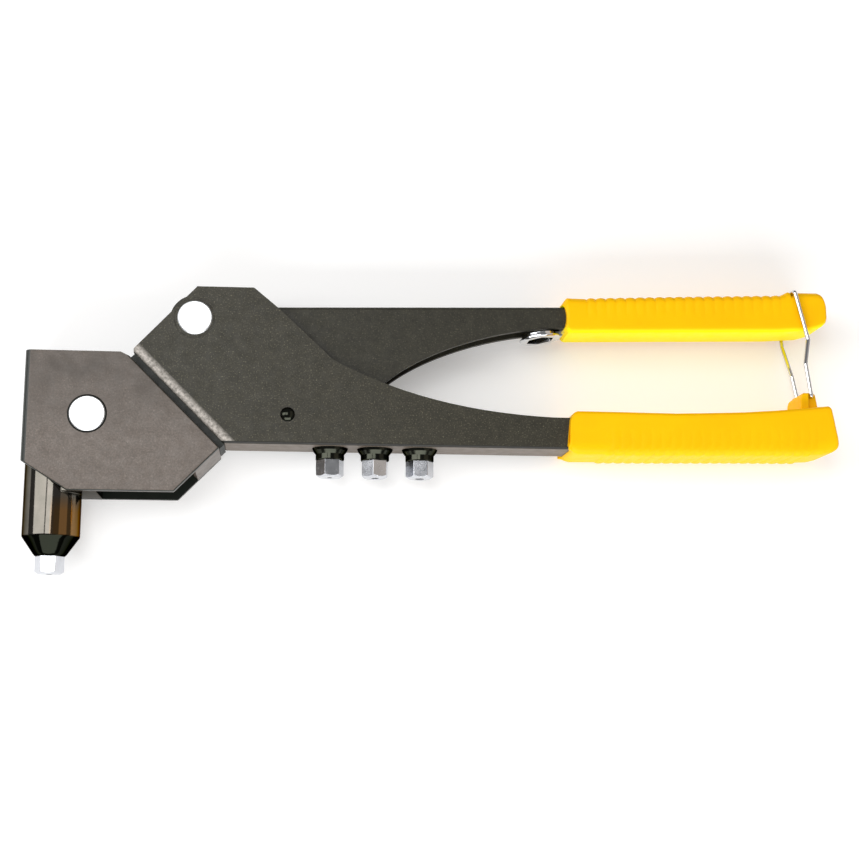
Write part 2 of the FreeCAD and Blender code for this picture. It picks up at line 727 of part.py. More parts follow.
def cone_radius(y):
    """Radius of the jaws' cone at a height."""
    share = (y - JAW_BOTTOM) / JAW_HEIGHT
    return JAW_BOTTOM_RADIUS + share * (JAW_TOP_RADIUS - JAW_BOTTOM_RADIUS)


def jaw_case():
    """The sliding case that grips the mandrel: a coned mouth below, a spring chamber and a stem."""
    outer = TUBE_BORE - RUNNING_GAP
    collar_low = lift_pad_point().y + LIFT_PAD_RADIUS + CONTACT_GAP
    jaw_top = JAW_BOTTOM + JAW_HEIGHT
    body = turned([
        (0, CASE_BOTTOM), (outer, CASE_BOTTOM), (outer, CASE_NECK), (CASE_NECK_RADIUS, CASE_NECK),
        (CASE_NECK_RADIUS, CASE_TOP), (STEM_RADIUS, CASE_TOP),
        (STEM_RADIUS, collar_low), (COLLAR_RADIUS, collar_low), (COLLAR_RADIUS, collar_low + 2.2),
        (STEM_RADIUS, collar_low + 2.2), (STEM_RADIUS, STEM_TOP), (0, STEM_TOP),
    ], NOSE_X)
    mouth = cone_radius(CASE_BOTTOM) + JAW_GAP
    chamber = cone_radius(jaw_top + 0.6) + JAW_GAP
    hollow = turned([
        (0, CASE_BOTTOM - 1), (mouth, CASE_BOTTOM - 1), (mouth, CASE_BOTTOM),
        (chamber, jaw_top + 0.6), (chamber, CASE_TOP - 3.0), (MANDREL_BORE, CASE_TOP - 3.0),
        (MANDREL_BORE, STEM_TOP + 1), (0, STEM_TOP + 1),
    ], NOSE_X)
    return body.cut(hollow).removeSplitter()


def jaws():
    """Two half-cone jaws with a mandrel bore and gripping grooves between them."""
    top = JAW_BOTTOM + JAW_HEIGHT
    cone = turned([
        (0, JAW_BOTTOM), (JAW_BOTTOM_RADIUS, JAW_BOTTOM), (JAW_TOP_RADIUS, top), (0, top),
    ], NOSE_X)
    bore = turned([(0, JAW_BOTTOM - 1), (0.8, JAW_BOTTOM - 1), (0.8, top + 1), (0, top + 1)], NOSE_X)
    grooves = []
    for i in range(7):
        y = JAW_BOTTOM + 1.2 + 1.2 * i
        grooves.append(turned([(0, y - 0.4), (0.8, y - 0.4), (1.15, y), (0.8, y + 0.4), (0, y + 0.4)], NOSE_X))
    cone = cone.cut([bore] + grooves)
    sides = []
    for side in (-1, 1):
        near, far = NOSE_X + side * JAW_SLIT_HALF, NOSE_X + side * 20
        half = box((min(near, far), -WIDE, -20), (max(near, far), 0, 20))
        sides.append(cone.common(half).removeSplitter())
    return sides


def jaw_pusher():
    low = JAW_BOTTOM + JAW_HEIGHT + 0.3
    top = low + PUSHER_HEIGHT
    outer = cone_radius(low) + JAW_GAP - 0.1
    return turned([
        (MANDREL_BORE, low + 0.5), (outer, low + 0.5), (outer, low + 2.2), (2.6, low + 2.2),
        (2.6, top), (MANDREL_BORE, top),
    ], NOSE_X)


def jaw_spring():
    low = JAW_BOTTOM + JAW_HEIGHT + 0.3 + 2.2 + JAW_WIRE / 2
    top = CASE_TOP - 3.0 - JAW_WIRE / 2
    coil = spring_coil(JAW_WIRE, JAW_COIL_RADIUS, top - low, JAW_TURNS)
    coil.translate(Vector(NOSE_X, low, 0))
    return coil


# ---------------------------------------------------------------- grips, bail and spanner


def softened(solid, radius, half):
    """A side-view slab with its long edges on both faces rounded."""
    edges = ridges(solid, lambda edge, p: abs(abs(p.z) - half) < 0.01)
    return solid.makeFillet(radius, edges)


def grip_hump():
    """The block that holds the bail, cut back on both sides so that the legs can swing."""
    foot = BAIL_PIVOT[1]
    hump = slab(outline([
        (209.4, -32), (209.6, -22.6, 1.2), (211.0, foot + 1.3, 0.8), (214.9, foot + 1.3, 1.0), (217.0, -32),
    ]), -HUMP_HALF, HUMP_HALF)
    sides = []
    for side in (-1, 1):
        near, far = side * (BAIL_NARROW_HALF - WIRE_RADIUS - 0.15), side * (HUMP_HALF + 1)
        sides.append(box((212.4, foot - 1.1, min(near, far)), (218, foot + 5, max(near, far))))
    return hump.cut(sides)


def lower_grip():
    """A thick sleeve on the frame's handle, with a hump that holds the bail."""
    body = slab(outline([
        (127.6, -31.8), (129.6, -29.5), (188.0, -29.0, 30), (204.6, -27.4, 6), (219.3, -26.1, 1.5),
        (LOWER_GRIP_END, -39.8, 2.5), (218.0, -42.9, 2), (130.2, -44.6, 1.5), (127.2, -42.6, 1),
    ]), -LOWER_HALF, LOWER_HALF)
    body = softened(body, 1.6, LOWER_HALF)
    solid = body.fuse(grip_hump())
    core_half = FRAME_HALF
    core = box((100, FRAME_BOTTOM, -core_half), (FRAME_END, HANDLE_TOP, core_half))
    core = core.makeFillet(1.0, ridges(core, lambda e, p: straight(e) and abs(p.y - FRAME_BOTTOM) < 0.01
                                       and abs(abs(p.z) - core_half) < 0.01))
    pivot = cross_bar(BAIL_PIVOT, WIRE_RADIUS + RUNNING_GAP, -WIDE, WIDE)
    return solid.cut([core, pivot]).removeSplitter()


def upper_grip():
    """A slimmer sleeve on the lever's handle, with a notch across its back for the bail."""
    body = slab(outline([
        (126.2, -1.5), (127.4, 1.0), (127.4, 6.3), (126.0, 8.6), (127.6, 10.9, 1), (204.4, 14.1, 4),
        (206.4, 15.6, 1), (219.2, 15.5, 3.0), (220.4, 3.8, 1), (213.5, 1.0, 3), (130, -1.6),
    ]), -UPPER_HALF, UPPER_HALF)
    body = softened(body, 1.2, UPPER_HALF)
    low, high = lever_top(0) - LEVER_DEPTH_IN_GRIP, lever_top(0)
    reach = LEVER_END * LEVER_SLOPE
    start = 100 * LEVER_SLOPE
    core = slab(outline([
        (100, low + start), (LEVER_END, low + reach), (LEVER_END, high + reach), (100, high + start),
    ]), -LEVER_HALF, LEVER_HALF)
    top_edges = ridges(core, lambda e, p: straight(e) and abs(p.y - lever_top(p.x)) < 0.01
                       and abs(abs(p.z) - LEVER_HALF) < 0.01)
    core = core.makeFillet(1.2, top_edges)
    notch = cross_bar(BAIL_TOP, WIRE_RADIUS + CONTACT_GAP, -WIDE, WIDE)
    above = box((BAIL_TOP[0] - 1.05, BAIL_TOP[1], -WIDE), (BAIL_TOP[0] + 1.05, BAIL_TOP[1] + 5, WIDE))
    mouth_half = LEVER_HALF - LEVER_SHEET
    mouth = box((100, -10, -mouth_half), (MOUTH_SLOT_END, 3, mouth_half))
    return body.cut([core, notch, above, mouth]).removeSplitter()


def bail_path():
    """The corners of the bail's centre line: two cranked legs between a top bar and a pivot bar."""
    top, foot = BAIL_TOP, BAIL_PIVOT
    near = [(*foot, BAIL_NARROW_HALF), (*BAIL_NEAR_LOW, BAIL_NARROW_HALF),
            (*BAIL_NEAR_HIGH, BAIL_WIDE_HALF), (*top, BAIL_WIDE_HALF)]
    far = [(*top, -BAIL_WIDE_HALF), (*BAIL_FAR_HIGH, -BAIL_WIDE_HALF),
           (*BAIL_FAR_LOW, -BAIL_NARROW_HALF), (*foot, -BAIL_NARROW_HALF)]
    return [Vector(*point) for point in near + far]


def bent_wire(points, bend, radius):
    """A round wire along a closed route of straight runs with an arc at each corner."""
    pieces, ends = [], []
    for i, here in enumerate(points):
        back = (points[i - 1] - here).normalize()
        on = (points[(i + 1) % len(points)] - here).normalize()
        half = back.getAngle(on) / 2
        start, end = [here + way * (bend / math.tan(half)) for way in (back, on)]
        centre = here + (back + on).normalize() * (bend / math.sin(half))
        disc = Part.Face(Part.Wire(Part.makeCircle(radius, start, back)))
        pieces.append(disc.revolve(centre, on.cross(back), 180 - math.degrees(2 * half)))
        ends.append((start, end))
    for i, (start, end) in enumerate(ends):
        pieces.append(bar(ends[i - 1][1], start, radius))
    return pieces[0].fuse(pieces[1:])


def lock_bail():
    """One closed loop of wire: pivot bar through the hump, two flared legs and a top bar."""
    return bent_wire(bail_path(), BAIL_BEND, WIRE_RADIUS)


def spanner():
    """The nosepiece spanner: a flanged hexagon ring and a cranked tang that slides in the lever."""
    half = SPANNER_THICKNESS / 2
    ring = turned([
        (0, -half), (SPANNER_FLANGE_RADIUS - 0.3, -half), (SPANNER_FLANGE_RADIUS, -half + 0.3),
        (SPANNER_FLANGE_RADIUS, -half + 0.8), (SPANNER_BARREL_RADIUS, -half + 1.0),
        (SPANNER_BARREL_RADIUS, half - 0.3), (SPANNER_BARREL_RADIUS - 0.3, half), (0, half),
    ])
    low, high = -half + 0.2, half - 0.3
    tang = slab(outline([
        (4, low), (7.4, low, 0.8), (9.5, low + TANG_RISE, 0.8), (TANG_LENGTH, low + TANG_RISE),
        (TANG_LENGTH, high + TANG_RISE), (8.9, high + TANG_RISE, 0.8), (6.4, high, 0.8), (4, high),
    ]), -TANG_HALF, TANG_HALF)
    tang = tang.makeFillet(2.0, ridges(tang, lambda e, p: abs(p.x - TANG_LENGTH) < 0.01
                                       and abs(abs(p.z) - TANG_HALF) < 0.01))
    socket = hexagon_bar(SPANNER_HEX, Vector(0, -5, 0), 10, Vector(0, 1, 0), 30)
    solid = ring.fuse(tang).cut(socket).removeSplitter()
    solid.rotate(Vector(0, 0, 0), Vector(0, 0, 1), SPANNER_TILT)
    solid.translate(Vector(*SPANNER_RING_AT, 0))
    return solid


def all_parts():
    left_jaw, right_jaw = jaws()
    parts = {
        "main_frame": main_frame(),
        "main_pivot_pin": main_pivot_pin(),
        "stop_pin": stop_pin(),
        "lever_handle": lever_handle(),
        "toe_pin": toe_pin(),
        "toe_roller": toe_roller(),
        "return_spring": return_spring(),
        "swivel_bolt": swivel_bolt(),
        "swivel_nut": swivel_nut(),
        "swivel_washer": swivel_washer(),
        "push_rod": push_rod(),
        "bell_crank": bell_crank(),
        "head_housing": head_housing(),
        "head_pivot_pin": head_pivot_pin(),
        "nose_tube": nose_tube(),
        "fitted_nosepiece": nosepiece(NOSE_X, CONE_END, FITTED_BORE, 1),
        "jaw_case": jaw_case(),
        "left_jaw": left_jaw,
        "right_jaw": right_jaw,
        "jaw_pusher": jaw_pusher(),
        "jaw_spring": jaw_spring(),
        "lower_grip": lower_grip(),
        "upper_grip": upper_grip(),
        "lock_bail": lock_bail(),
        "spanner": spanner(),
    }
    seat = FRAME_BOTTOM - BUSH_HEIGHT
    turns = (8, 20, 0)
    for i, x in enumerate(spare_places()):
        parts[f"storage_bush_{i + 1}"] = storage_bush(x)
        parts[f"spare_nosepiece_{i + 1}"] = nosepiece(x, seat, SPARE_BORES[i], turns[i])
    return parts


def table_shift():
    """From the main pivot to the middle of the tool's footprint as it lies on its far side."""
    low_x, high_x = NOSE_X - TUBE_RADIUS, 221.75
    low_y, high_y = CONE_END - HEX_HEIGHT, BAIL_TOP[1] + WIRE_RADIUS
    return Vector(-(low_x + high_x) / 2, -(low_y + high_y) / 2, HEAD_HALF)


def main():
    os.makedirs("parts", exist_ok=True)
    shift = table_shift()
    for name, shape in all_parts().items():
        shape.translate(shift)
        shape.exportStep(f"parts/{name}.step")


main()
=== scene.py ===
import math

import bmesh
import bpy
from mathutils import Matrix, Vector


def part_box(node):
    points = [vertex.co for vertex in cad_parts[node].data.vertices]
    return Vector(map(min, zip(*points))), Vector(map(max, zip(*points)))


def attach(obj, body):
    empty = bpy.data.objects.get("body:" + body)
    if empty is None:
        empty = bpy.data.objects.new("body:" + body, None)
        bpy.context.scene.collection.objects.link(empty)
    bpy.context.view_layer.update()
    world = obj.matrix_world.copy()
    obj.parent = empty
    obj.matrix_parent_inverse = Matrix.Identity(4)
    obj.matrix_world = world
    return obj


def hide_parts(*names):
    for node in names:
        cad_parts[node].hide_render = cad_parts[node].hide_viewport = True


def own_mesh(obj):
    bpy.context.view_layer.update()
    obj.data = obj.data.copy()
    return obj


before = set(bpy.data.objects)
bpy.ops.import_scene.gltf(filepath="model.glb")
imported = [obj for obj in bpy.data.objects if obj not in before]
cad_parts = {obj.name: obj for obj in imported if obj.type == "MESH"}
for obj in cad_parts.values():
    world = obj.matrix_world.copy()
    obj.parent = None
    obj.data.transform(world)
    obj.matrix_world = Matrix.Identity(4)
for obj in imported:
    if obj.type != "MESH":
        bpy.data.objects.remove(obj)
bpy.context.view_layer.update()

MM = 0.001
pin_low, pin_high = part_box("main_pivot_pin")
frame_low, frame_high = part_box("main_frame")
PIVOT = Vector((
    (pin_low.x + pin_high.x) / 2,
    (pin_low.y + pin_high.y) / 2,
    (frame_low.z + frame_high.z) / 2,
))


def at(x, y, z=0.0):
    """A point in metres from millimetres measured from the middle of the main pivot."""
    return PIVOT + Vector((x, y, z)) * MM


# Places that the materials and the springs refer to, in millimetres from the main pivot.
FRAME_SLANT = ((-20.0, -12.1), (12.0, -44.1))  # the frame's edge beside the head
FRAME_UNDERSIDE = -42.5
HEAD_TOP = -13.2
HEAD_FRONT_EDGE_SHADE = (10.2, 11.9)  # depths painted dark as shade: the cut edges of the head's front and back plates and the inside face of the back plate
HEAD_INSIDE_SHADE = (-11.5, -9.2)
NOSE_X = -45.1  # the line on which the nose tube, the jaws and the jaw spring lie
CONE_TOP = -73.6

# ---------------------------------------------------------------- materials


class Graph:
    """A short way to write the node tree of one material."""

    def __init__(self, name):
        self.material = bpy.data.materials.new(name)
        self.material.use_nodes = True
        self.tree = self.material.node_tree
        self.shader = self.tree.nodes["Principled BSDF"]
        self.place = self.add("ShaderNodeTexCoord").outputs["Object"]

    def add(self, kind):
        return self.tree.nodes.new(kind)

    def feed(self, socket, value):
        if isinstance(value, bpy.types.NodeSocket):
            self.tree.links.new(value, socket)
        else:
            socket.default_value = value

    def noise(self, scale, detail=3.0, roughness=0.55):
        node = self.add("ShaderNodeTexNoise")
        self.feed(node.inputs["Vector"], self.place)
        self.feed(node.inputs["Scale"], scale)
        self.feed(node.inputs["Detail"], detail)
        self.feed(node.inputs["Roughness"], roughness)
        return node.outputs["Fac"]

    def ramp(self, value, stops):
        """A colour that runs through a list of (position, colour) stops."""
        node = self.add("ShaderNodeValToRGB")
        self.feed(node.inputs["Fac"], value)
        for point, (position, colour) in zip(node.color_ramp.elements, stops):
            point.position = position
            point.color = (*colour, 1.0)
        return node.outputs["Color"]

    def span(self, value, from_low, from_high, to_low, to_high):
        """A value moved from one range to another, and held at its ends."""
        node = self.add("ShaderNodeMapRange")
        self.feed(node.inputs["Value"], value)
        for name, number in zip(
            ("From Min", "From Max", "To Min", "To Max"), (from_low, from_high, to_low, to_high)
        ):
            self.feed(node.inputs[name], number)
        return node.outputs["Result"]

    def cloud(self, scale, detail=3.0, roughness=0.55, to_low=0, to_high=1):
        """Soft noise that fills a range."""
        return self.span(self.noise(scale, detail, roughness), 0.3, 0.7, to_low, to_high)

    def arithmetic(self, operation, a, b):
        node = self.add("ShaderNodeMath")
        node.operation = operation
        self.feed(node.inputs[0], a)
        self.feed(node.inputs[1], b)
        return node.outputs[0]

    def times(self, a, b):
        return self.arithmetic("MULTIPLY", a, b)

    def millimetres_from(self, value, origin):
        return self.times(self.arithmetic("SUBTRACT", value, origin), 1000.0)

    def mix(self, share, a, b):
        node = self.add("ShaderNodeMix")
        node.data_type = "RGBA"
        factor, first, second = node.inputs[0], node.inputs[6], node.inputs[7]
        self.feed(factor, share)
        self.feed(first, a)
        self.feed(second, b)
        return node.outputs[2]

    def bump(self, height, distance, strength):
        node = self.add("ShaderNodeBump")
        self.feed(node.inputs["Height"], height)
        self.feed(node.inputs["Distance"], distance)
        self.feed(node.inputs["Strength"], strength)
        return node.outputs["Normal"]

    def left_of(self, start, end):
        """Distance in mm to the left of a line between two points of the side view."""
        run = (at(*end) - at(*start)).normalized()
        normal = Vector((-run.y, run.x, 0))
        node = self.add("ShaderNodeVectorMath")
        node.operation = "DOT_PRODUCT"
        self.feed(node.inputs[0], self.place)
        self.feed(node.inputs[1], normal)
        return self.millimetres_from(node.outputs["Value"], normal.dot(at(*start)))

    def along_axis(self, axis, origin):
        """Distance in mm from a place on one axis, X, Y or Z."""
        node = self.add("ShaderNodeSeparateXYZ")
        self.feed(node.inputs[0], self.place)
        return self.millimetres_from(node.outputs[axis], origin)

    def depth(self):
        """Distance in mm over the tool's middle plane."""
        return self.along_axis("Z", PIVOT.z)

    def band(self, value, start, end, soft):
        """1 between two values, falling to 0 over a soft margin outside them."""
        rise = self.span(value, start - soft, start, 0, 1)
        return self.times(rise, self.span(value, end, end + soft, 1, 0))

    def finish(self, **values):
        for key, value in values.items():
            self.feed(self.shader.inputs[key.replace("_", " ")], value)
        return self.material


def rgb(red, green, blue):
    """A linear colour from sRGB numbers of 0 to 255."""
    def one(v):
        v /= 255
        return v / 12.92 if v <= 0.04045 else ((v + 0.055) / 1.055) ** 2.4
    return one(red), one(green), one(blue)


def rgba(red, green, blue):
    return (*rgb(red, green, blue), 1.0)


def coated_steel(name, dark, light, grain, rough, speckle, detail=None):
    """Dark paint on sheet steel: fine sandy grain, pale specks and soft mottling."""
    speck_gain = 4.2
    pit_gain = 0.45
    g = Graph(name)
    fine = g.noise(1500, 3, 0.7)
    colour = g.ramp(g.cloud(320, 5, 0.65), [(0.0, dark), (1.0, light)])
    specks = g.span(g.noise(2100, 1, 0.5), 0.6, 0.72, 0, speckle)
    colour = g.mix(specks, colour, (*[min(1, c * speck_gain) for c in light], 1.0))
    pits = g.span(fine, 0.35, 0.65, 0.0, 0.55)
    colour = g.mix(pits, colour, (*[c * pit_gain for c in dark], 1.0))
    if detail:
        colour = detail(g, colour)
    roughness = g.cloud(300, to_low=rough - 0.05, to_high=rough + 0.07)
    return g.finish(Base_Color=colour, Roughness=roughness, Normal=g.bump(fine, 0.00006, grain),
                    Specular_IOR_Level=0.38)


def frame_painted_light(g, colour):
    """Painted light on the frame: a pale painted highlight along the rounded edge beside the head, a
    painted dark reflection along the fold line and the web underneath painted paler, as if lit from
    below.
    """
    # painted highlight: the rounded bend beside the head catching the light, broken into patches
    patchy = g.span(g.noise(900, 4, 0.7), 0.35, 0.6, 0.3, 1.0)
    front = g.span(g.depth(), 7.0, 7.8, 0, 1)
    edge_highlight = g.times(g.times(g.band(g.left_of(*FRAME_SLANT), 0.9, 1.8, 1.7), patchy), front)
    colour = g.mix(edge_highlight, colour, rgba(205, 198, 190))
    height = g.along_axis("Y", at(0, FRAME_UNDERSIDE).y)
    # painted light: the web's underside painted paler, as if lit from below
    colour = g.mix(g.span(height, 0.02, 0.12, 1, 0), colour, rgba(96, 86, 76))
    # painted shade: a dark reflection along the fold at the front of the web
    fold = g.times(g.band(height, 0.12, 0.75, 0.1), g.span(g.depth(), 5.6, 6.4, 0, 1))
    return g.mix(fold, colour, rgba(30, 29, 24))


def head_painted_shade(g, colour):
    """Painted shade on the head: dark cut edges and a dark inside, and a faint painted shade over the
    upper half that leaves the lower half brighter, as a painted reflection.
    """
    height = g.along_axis("Y", at(0, HEAD_TOP).y)
    patchy = g.span(g.noise(160, 5), 0.35, 0.7, 0.3, 1)
    # painted reflection: the upper half painted darker, so the head grows brighter towards the bottom
    colour = g.mix(g.times(g.span(height, -30, -8, 0, 0.9), patchy), colour, rgba(60, 52, 44))
    depth = g.depth()
    # painted shade on the front plate's cut edges and on the inside of the back plate
    for start, end in (HEAD_FRONT_EDGE_SHADE, HEAD_INSIDE_SHADE):
        colour = g.mix(g.band(depth, start, end, 0.05), colour, rgba(26, 31, 27))
    return colour


def plated_steel(name, tone, rough):
    """Bright zinc or nickel plate with fine marks and a cloudy tone."""
    g = Graph(name)
    colour = g.ramp(g.cloud(220, 4), [(0, [c * 0.86 for c in tone]), (1, tone)])
    roughness = g.cloud(500, to_low=max(0.03, rough - 0.03), to_high=rough + 0.04)
    normal = g.bump(g.noise(1800), 0.00002, 0.08)
    return g.finish(Base_Color=colour, Roughness=roughness, Normal=normal, Metallic=1.0)


def black_gloss(name, dark, light, rough, detail=None):
    """Glossy blackened steel: dark even at grazing angles, with a faint orange-peel surface."""
    g = Graph(name)
    colour = g.ramp(g.noise(150), [(0.3, dark), (0.7, light)])
    if detail:
        colour = detail(g, colour)
    roughness = g.cloud(400, 2, to_low=rough, to_high=rough + 0.04)
    normal = g.bump(g.noise(260, 2), 0.00003, 0.1)
    return g.finish(Base_Color=colour, Roughness=roughness, Normal=normal, Metallic=1.0,
                    Specular_Tint=(0.25, 0.24, 0.22, 1.0))


def tube_painted_light(g, colour):
    """A painted brown reflection down one side and a cone painted darker as painted shade."""
    height = g.along_axis("Y", at(0, CONE_TOP).y)
    across = g.along_axis("X", at(NOSE_X, 0).x)
    # painted reflection: the brown surroundings mirrored in the tube's lower right side
    brown = g.times(g.span(across, 0.6, 2.4, 0, 1), g.span(height, 13, 8, 0, 1))
    colour = g.mix(brown, colour, rgba(122, 94, 60))
    # painted shade: the cone painted darker in place of the dark surroundings that it reflects
    return g.mix(g.span(height, 0.3, -0.1, 0, 1), colour, rgba(25, 27, 22))


def yellow_vinyl(name, under):
    """Dipped yellow vinyl: smooth and slightly waxy, with painted light underneath, where faces turned
    down take another yellow.
    """
    g = Graph(name)
    colour = g.ramp(g.cloud(60), [(0, rgb(255, 190, 0)), (1, rgb(255, 196, 0))])
    facing = g.add("ShaderNodeSeparateXYZ")
    g.feed(facing.inputs[0], g.add("ShaderNodeTexCoord").outputs["Normal"])
    # painted light: downward faces take the underside colour, as if lit from below
    colour = g.mix(g.span(facing.outputs["Y"], -0.85, -0.3, 1, 0), colour, under)
    return g.finish(Base_Color=colour, Roughness=g.cloud(350, to_low=0.42, to_high=0.55),
                    Normal=g.bump(g.noise(900, 2), 0.00005, 0.25),
                    Subsurface_Weight=0.08, Subsurface_Scale=0.002,
                    Subsurface_Radius=(1.0, 0.7, 0.2), Specular_IOR_Level=0.12)


FRAME_STEEL = coated_steel("frame_steel", rgb(42, 40, 29), rgb(60, 57, 45),
                           grain=0.6, rough=0.46, speckle=0.6, detail=frame_painted_light)
# The head's paler base is partly its own browner paint and partly a painted sheen for its glossier
# surface.
HEAD_STEEL = coated_steel("head_steel", rgb(94, 84, 76), rgb(112, 102, 94),
                          grain=0.2, rough=0.36, speckle=0.1, detail=head_painted_shade)
LEVER_STEEL = coated_steel("lever_steel", rgb(38, 36, 26), rgb(53, 51, 40),
                           grain=0.5, rough=0.48, speckle=0.35)
PIN_STEEL = plated_steel("pin_steel", rgb(236, 238, 240), rough=0.42)
ZINC = plated_steel("zinc_plate", rgb(205, 207, 212), rough=0.24)
CHROME = plated_steel("chrome_plate", rgb(226, 227, 230), rough=0.1)
SPRING = plated_steel("spring_steel", rgb(150, 150, 152), rough=0.3)
FORGED = coated_steel("forged_black", rgb(30, 29, 28), rgb(44, 42, 40),
                      grain=0.5, rough=0.5, speckle=0.1)
TUBE_BLACK = black_gloss("tube_black", rgb(84, 82, 76), rgb(98, 94, 88), rough=0.06,
                         detail=tube_painted_light)
# Black gloss for the stop pin, its own colour, and for the storage bushes, where it is partly painted
# shade: they are collars of the frame, darker because their underside gets no light.
BLACK_PIN_AND_SHADED_BUSHES = black_gloss("black_pin_and_shaded_bushes", rgb(44, 46, 40), rgb(56, 57, 50), rough=0.12)
# Lit and shaded copies of one vinyl: they differ only in the painted light on their undersides,
# brighter on the upper grip.
UPPER_VINYL = yellow_vinyl("upper_vinyl", under=rgba(255, 240, 0))
LOWER_VINYL = yellow_vinyl("lower_vinyl", under=rgba(250, 196, 0))
# painted shade: the swivel washer takes the dark green-black of the shade in the gap between head and
# frame
GAP_SHADE_BLACK = coated_steel("gap_shade_black", rgb(24, 29, 25), rgb(34, 39, 34),
                           grain=0.3, rough=0.5, speckle=0.05)

MATERIAL_OF = {
    "main_frame": FRAME_STEEL, "head_housing": HEAD_STEEL, "lever_handle": LEVER_STEEL,
    "main_pivot_pin": PIN_STEEL, "head_pivot_pin": PIN_STEEL, "stop_pin": BLACK_PIN_AND_SHADED_BUSHES,
    "swivel_bolt": ZINC, "swivel_nut": ZINC, "swivel_washer": GAP_SHADE_BLACK,
    "return_spring": SPRING, "jaw_spring": SPRING, "toe_pin": ZINC, "toe_roller": ZINC,
    "push_rod": ZINC, "bell_crank": FORGED, "jaw_case": FORGED, "left_jaw": ZINC,
    "right_jaw": ZINC, "jaw_pusher": ZINC, "nose_tube": TUBE_BLACK, "fitted_nosepiece": ZINC,
    "lock_bail": CHROME, "spanner": CHROME, "lower_grip": LOWER_VINYL, "upper_grip": UPPER_VINYL,
}
# The width in millimetres that softens a node's edges. A node without one keeps sharp edges.
BEVEL_OF = {
    "main_frame": 0.25, "head_housing": 0.3, "lever_handle": 0.25, "nose_tube": 0.3,
    "fitted_nosepiece": 0.18, "swivel_nut": 0.25, "bell_crank": 0.4, "spanner": 0.15,
}
# the storage bushes take the black gloss that is partly painted shade
for number in (1, 2, 3):
    MATERIAL_OF[f"storage_bush_{number}"] = BLACK_PIN_AND_SHADED_BUSHES
    MATERIAL_OF[f"spare_nosepiece_{number}"] = ZINC
    BEVEL_OF[f"spare_nosepiece_{number}"] = BEVEL_OF["fitted_nosepiece"]


def crisp(obj, degrees=30):
    """Smooth shading with sharp edges where faces meet at more than an angle."""
    obj.data.polygons.foreach_set("use_smooth", [True] * len(obj.data.polygons))
    obj.data.set_sharp_from_angle(angle=math.radians(degrees))


def soften_edges(obj, width, segments=2):
    """A narrow round on every sharp edge, with normals that keep the flat faces flat."""
    weld = obj.modifiers.new("weld", "WELD")
    weld.merge_threshold = 1e-6
    bevel = obj.modifiers.new("bevel", "BEVEL")
    bevel.width = width * MM
    bevel.segments = segments
    bevel.limit_method = "ANGLE"
    bevel.angle_limit = math.radians(32)
    bevel.use_clamp_overlap = True
    even = obj.modifiers.new("even", "WEIGHTED_NORMAL")
    even.weight = 100
    even.keep_sharp = True


def dress_cad_nodes():
    for name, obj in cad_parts.items():
        obj.data.materials.clear()
        obj.data.materials.append(MATERIAL_OF[name])
        crisp(obj)
        if name in BEVEL_OF:
            soften_edges(obj, BEVEL_OF[name])


dress_cad_nodes()

# ---------------------------------------------------------------- meshes


def new_object(name, points, faces):
    """A mesh object from points in millimetres, with its faces turned outwards."""
    mesh = bpy.data.meshes.new(name)
    mesh.from_pydata([at(*point) for point in points], [], faces)
    work = bmesh.new()
    work.from_mesh(mesh)
    bmesh.ops.recalc_face_normals(work, faces=work.faces)
    work.to_mesh(mesh)
    work.free()
    obj = bpy.data.objects.new(name, mesh)
    bpy.context.scene.collection.objects.link(obj)
    return obj


def skin(name, rings):
    """One closed mesh through a list of equal rings, with a flat cap at either end."""
    count = len(rings[0])
    faces = [tuple(range(count - 1, -1, -1))]
    for r in range(len(rings) - 1):
        for i in range(count):
            j = (i + 1) % count
            faces.append((r * count + i, r * count + j, (r + 1) * count + j, (r + 1) * count + i))
    last = (len(rings) - 1) * count
    faces.append(tuple(range(last, last + count)))
    return new_object(name, [point for ring in rings for point in ring], faces)


def prism(corners, half):
    """The points and faces of a straight slab that reaches as far to either side."""
    count = len(corners)
    points = [(x, y, z) for z in (-half, half) for x, y in corners]
    faces = [tuple(range(count)), tuple(range(2 * count - 1, count - 1, -1))]
    for i in range(count):
        j = (i + 1) % count
        faces.append((i, i + count, j + count, j))
    return points, faces


def stand_for(obj, node, body, material):
    """Gives a piece its material and its body, and hides the CAD node that it stands for."""
    obj.data.materials.append(material)
    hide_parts(node)
    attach(obj, body)


# ---------------------------------------------------------------- springs

COIL_STEPS = 28  # rings in one turn
WIRE_SIDES = 12
SPRING_ANGLE = 50


def coil(node, body, base, axis, wire, radius, length, turns):
    """A coil spring of round wire, as its own mesh."""
    axis = Vector(axis).normalized()
    out = axis.orthogonal().normalized()
    other = axis.cross(out)
    steps = int(COIL_STEPS * turns)
    rings = []
    for i in range(steps + 1):
        turn = 2 * math.pi * turns * i / steps
        spoke = out * math.cos(turn) + other * math.sin(turn)
        centre = Vector(base) + axis * (length * i / steps) + spoke * radius
        rings.append([
            tuple(centre + (spoke * math.cos(a) + axis * math.sin(a)) * wire / 2)
            for a in (2 * math.pi * k / WIRE_SIDES for k in range(WIRE_SIDES))
        ])
    obj = skin(node + "_coil", rings)
    crisp(obj, SPRING_ANGLE)
    stand_for(obj, node, body, SPRING)
    return obj


def springs():
    coil("return_spring", "frame", base=(-0.495, -23.829, 0), axis=(1, 1, 0),
         wire=1.0, radius=3.9, length=4.34, turns=4)
    jaw_coil = coil("jaw_spring", "case", base=(NOSE_X, -53.5, 0), axis=(0, 1, 0),
                    wire=0.8, radius=4.0, length=4.1, turns=2.5)
    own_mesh(jaw_coil)


springs()

# ---------------------------------------------------------------- grips

